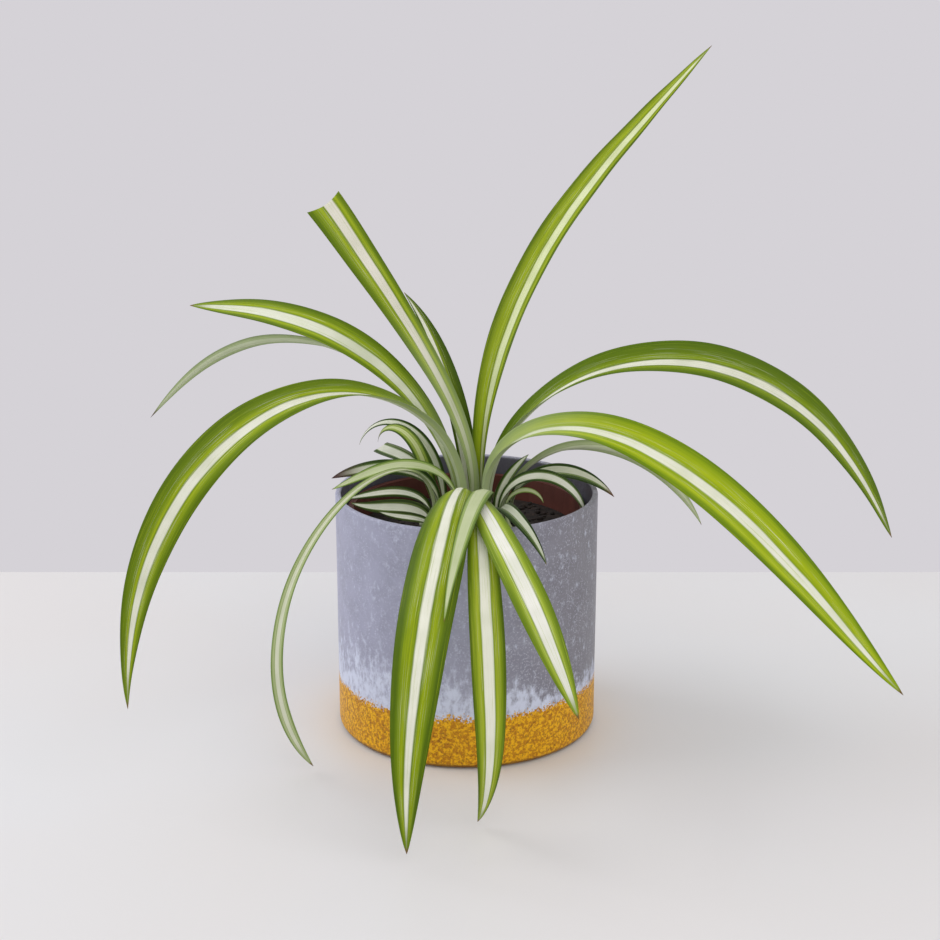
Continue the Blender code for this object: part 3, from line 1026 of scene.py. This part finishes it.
@dataclass
class Rosette:
    """All the leaves, the full-grown ones first."""

    def grown(self) -> list[Leaf]:
        """Return the full-grown leaves."""
        return [
            Leaf("leaf_tall_right", (8.5, 10.5), 339, 18, (60, 50, 50), (102, 58, 17, 34, 27),
                (0, 25, 15), 0.3, growth_and_shade=GrowthAndShade.VIVID),
            Leaf("leaf_cut_left", (0, 6.5), 186, 21, (156, 154, 156), (108, 36, 60, 49),
                (-25, -40, -50), 0.85, cut=0.72, notch=2.0, growth_and_shade=GrowthAndShade.CLIPPED),
            Leaf("leaf_short_back", (3, 14), 128, 13, (128, 128, 136), (81, 80, 60, 35),
                (-10, -30, -25), 0.25, growth_and_shade=GrowthAndShade.SHADY),
            Leaf("leaf_high_left", (-4.5, 8.5), 217, 19, (160, 149, 154), (89, 43, -1, -4),
                (-10, -35, -60), 0.5, growth_and_shade=GrowthAndShade.BROAD),
            Leaf("leaf_thin_left", (-6, 15), 274, 7.5, (159, 147, 142), (94, 30, 5, -43, -44),
                (5, 60, 65), 0.55, growth_and_shade=GrowthAndShade.GREY),
            Leaf("leaf_arch_left", (-5, -3), 320, 22, (208, 204, 219), (103, 19, -35, -68, -91),
                (20, -35, -110), 0.55),
            Leaf("leaf_high_right", (13.5, 2), 307, 25, (-6, 8, 6), (102, 19, -2, -57, -65),
                (-10, 55, 50), 0.55, growth_and_shade=GrowthAndShade.DEEP),
            Leaf("leaf_arch_right", (16.5, -12.5), 295, 23, (-28, -19, -32),
                (131, -46, -23, -55, -41), (25, 60, 65), 0.5, growth_and_shade=GrowthAndShade.BRIGHT),
            Leaf("leaf_pale_right", (18, 10), 147, 9, (13, 9, 8), (86, 30, -29, -37, -64),
                (-15, -75, -80), 0.4, growth_and_shade=GrowthAndShade.PALE, slot="leaf_pale"),
            Leaf("leaf_front_wide", (-0.5, -8), 263, 26, (-90, -107, -106), (66, 0, -57, -65, -94),
                (0, 5, -15), 0.5, fold=(-35, -5, 8), growth_and_shade=GrowthAndShade.OLIVE),
            Leaf("leaf_front_short", (5, -6), 160, 10.5, (-73, -113, -101), (56, 28, -37, -47),
                (5, -10, 25), 0.35, fold=(-30, 0, 8), growth_and_shade=GrowthAndShade.FADED),
            Leaf("leaf_front_right", (8, -11.5), 204, 16, (-103, -70, -49), (61, 2, -9, -51, -59),
                (-15, 25, 25), 0.7, fold=(-15, 0, 8), growth_and_shade=GrowthAndShade.WHITE),
            Leaf("leaf_front_middle", (4.5, -16), 246, 16, (-87, -94, -69), (58, 0, -50, -87, -129),
                (0, -5, 5), 0.6, fold=(-15, 0, 8), growth_and_shade=GrowthAndShade.FRESH),
            Leaf("leaf_trailing_left", (-17.5, -6), 241, 7, (250, 198, 202),
                (107, -38, -63, -82, -126), (-30, -10, -70), 0.85, growth_and_shade=GrowthAndShade.PALE,
                slot="leaf_pale"),
        ]

    def crown(self) -> list[Leaf]:
        """Return the young leaves at the two sides of the crown."""
        return [
            young("leaf_left_hooked", (-15, 3), 75, 8.5, (181, 130, 148), (74, 90, 78, -86),
                (-15, -55, -40), 0.35, growth_and_shade=GrowthAndShade.LIME),
            young("leaf_left_hoop", (-11, 8), 90, 7.5, (151, 146, 161), (81, 95, 17, -73),
                (-10, -35, -35), 0.3, growth_and_shade=GrowthAndShade.CREAM),
            young("leaf_left_stub", (-21, 9), 65, 10, (161, 140, 118), (144, 28, -7, -1),
                (-5, -25, -25), 0.55, cut=0.7, growth_and_shade=GrowthAndShade.CREAM),
            young("leaf_left_arch", (-11, -6.5), 90, 8.5, (185, 189, 184), (138, 21, -31, -24),
                (5, -35, -50), 0.45, growth_and_shade=GrowthAndShade.FADED),
            young("leaf_left_dry_tip", (-22.5, -1.5), 78, 10.5, (176, 183, 177), (163, -5, 3, -25),
                (5, -45, -50), 0.5, growth_and_shade=GrowthAndShade.DRYING),
            young("leaf_left_low", (-21, -10), 57, 8, (196, 191, 191), (130, 2, -10, -8),
                (-10, -45, -45), 0.35),
            young("leaf_left_lower", (-17, -14.5), 52, 11, (208, 196, 196), (89, 3, -12, 27),
                (-25, -55, -40), 0.3),
            young("leaf_left_lowest", (-13, -21), 40, 7.5, (209, 204, 201), (73, 12, 4, 27),
                (-5, -35, -40), 0.4),
            young("leaf_right_upright", (17, -2), 43, 7, (29, 29, 30), (108, 72, 47, 31),
                (0, 25, 40), 0.35, growth_and_shade=GrowthAndShade.CREAM),
            young("leaf_right_arch", (19.5, -7.5), 83, 9, (8, -32, 3), (116, 33, -41, -99),
                (0, 70, -5), 0.4, growth_and_shade=GrowthAndShade.CREAM),
            young("leaf_right_back", (26.5, 1), 76, 10.5, (6, -2, 6), (131, 4, -10, -50),
                (0, 45, 30), 0.55, growth_and_shade=GrowthAndShade.WITHERING),
            young("leaf_right_hook", (25, -12), 41, 5, (-14, -13, -11), (137, 90, 23, -76),
                (0, 25, 35), 0.4, growth_and_shade=GrowthAndShade.FADED),
            young("leaf_right_front", (19, -13), 97, 9.5, (-108, -74, -49), (51, 29, 3, -58),
                (0, 15, 25), 0.4, growth_and_shade=GrowthAndShade.HALF),
        ]

    def build(self) -> list[bpy.types.Object]:
        """Make every leaf."""
        return [leaf.build() for leaf in self.grown() + self.crown()]


# ---------------------------- studio


class SoftLight(NamedTuple):
    """A square soft light, in metres and watts."""

    name: str
    place: Place
    size: float
    watts: float
    tint: int


@dataclass
class Studio:
    """The table top, the soft lights, the plain surroundings and the camera, in metres."""

    lens: float = 71.4          # millimetres
    eye: Place = (0.0017, -0.918, 0.408)
    pitch: float = 73.52        # degrees, 90 being level
    table_back: float = 0.227
    table_front: float = -2.5
    table_half: float = 3.0
    wall: int = 0xD5D2D7
    lit_height: float = 0.15    # height on the plant at which the lights aim
    lights: tuple[SoftLight, ...] = (
        SoftLight("window_light", (-1.9, 0.3, 1.5), 1.6, 21.0, 0xFAFAFF),
        SoftLight("room_light", (0.9, -1.6, 1.9), 2.2, 16.0, 0xFFFBF4),
    )

    def table(self) -> None:
        """Make the table top that the pot stands on."""
        sides, ends = (-self.table_half, self.table_half), (self.table_front, self.table_back)
        corners = [(x, y, 0.0) for y in ends for x in sides]
        made = piece("table_top", corners, [(0, 1, 3, 2)], PaleTop().material())

    def light(self, row: SoftLight) -> None:
        """Hang one soft light that faces the plant.

        Args:
            row: The light.
        """
        lamp = bpy.data.lights.new(row.name, "AREA")
        lamp.size, lamp.energy, lamp.color = row.size, row.watts, paint(row.tint)[:3]
        made = bpy.data.objects.new(row.name, lamp)
        made.location = row.place
        aim = Vector((0, 0, self.lit_height)) - Vector(row.place)
        made.rotation_euler = aim.to_track_quat("-Z", "Y").to_euler()
        bpy.context.scene.collection.objects.link(made)

    def build(self) -> None:
        """Set up the table, the lights, the plain surroundings and the camera."""
        scene = bpy.context.scene
        scene.view_settings.view_transform = "Standard"
        self.table()
        for row in self.lights:
            self.light(row)
        world = bpy.data.worlds.new("soft_room")
        world.use_nodes = True
        glow = world.node_tree.nodes["Background"].inputs
        glow["Color"].default_value = paint(self.wall)
        glow["Strength"].default_value = 1.0
        scene.world = world
        camera = bpy.data.objects.new("camera", bpy.data.cameras.new("camera"))
        camera.data.lens = self.lens
        camera.location = self.eye
        camera.rotation_euler = (math.radians(self.pitch), 0.0, 0.0)
        scene.collection.objects.link(camera)
        scene.camera = camera


def main() -> None:
    """Build the plant, its pots and the studio, in order."""
    logging.basicConfig(level=logging.INFO, format="%(message)s")
    CoverPot().build()
    GrowerPot().dress()
    Compost().build()
    Rosette().build()
    Studio().build()


if __name__ == "__main__":
    main()
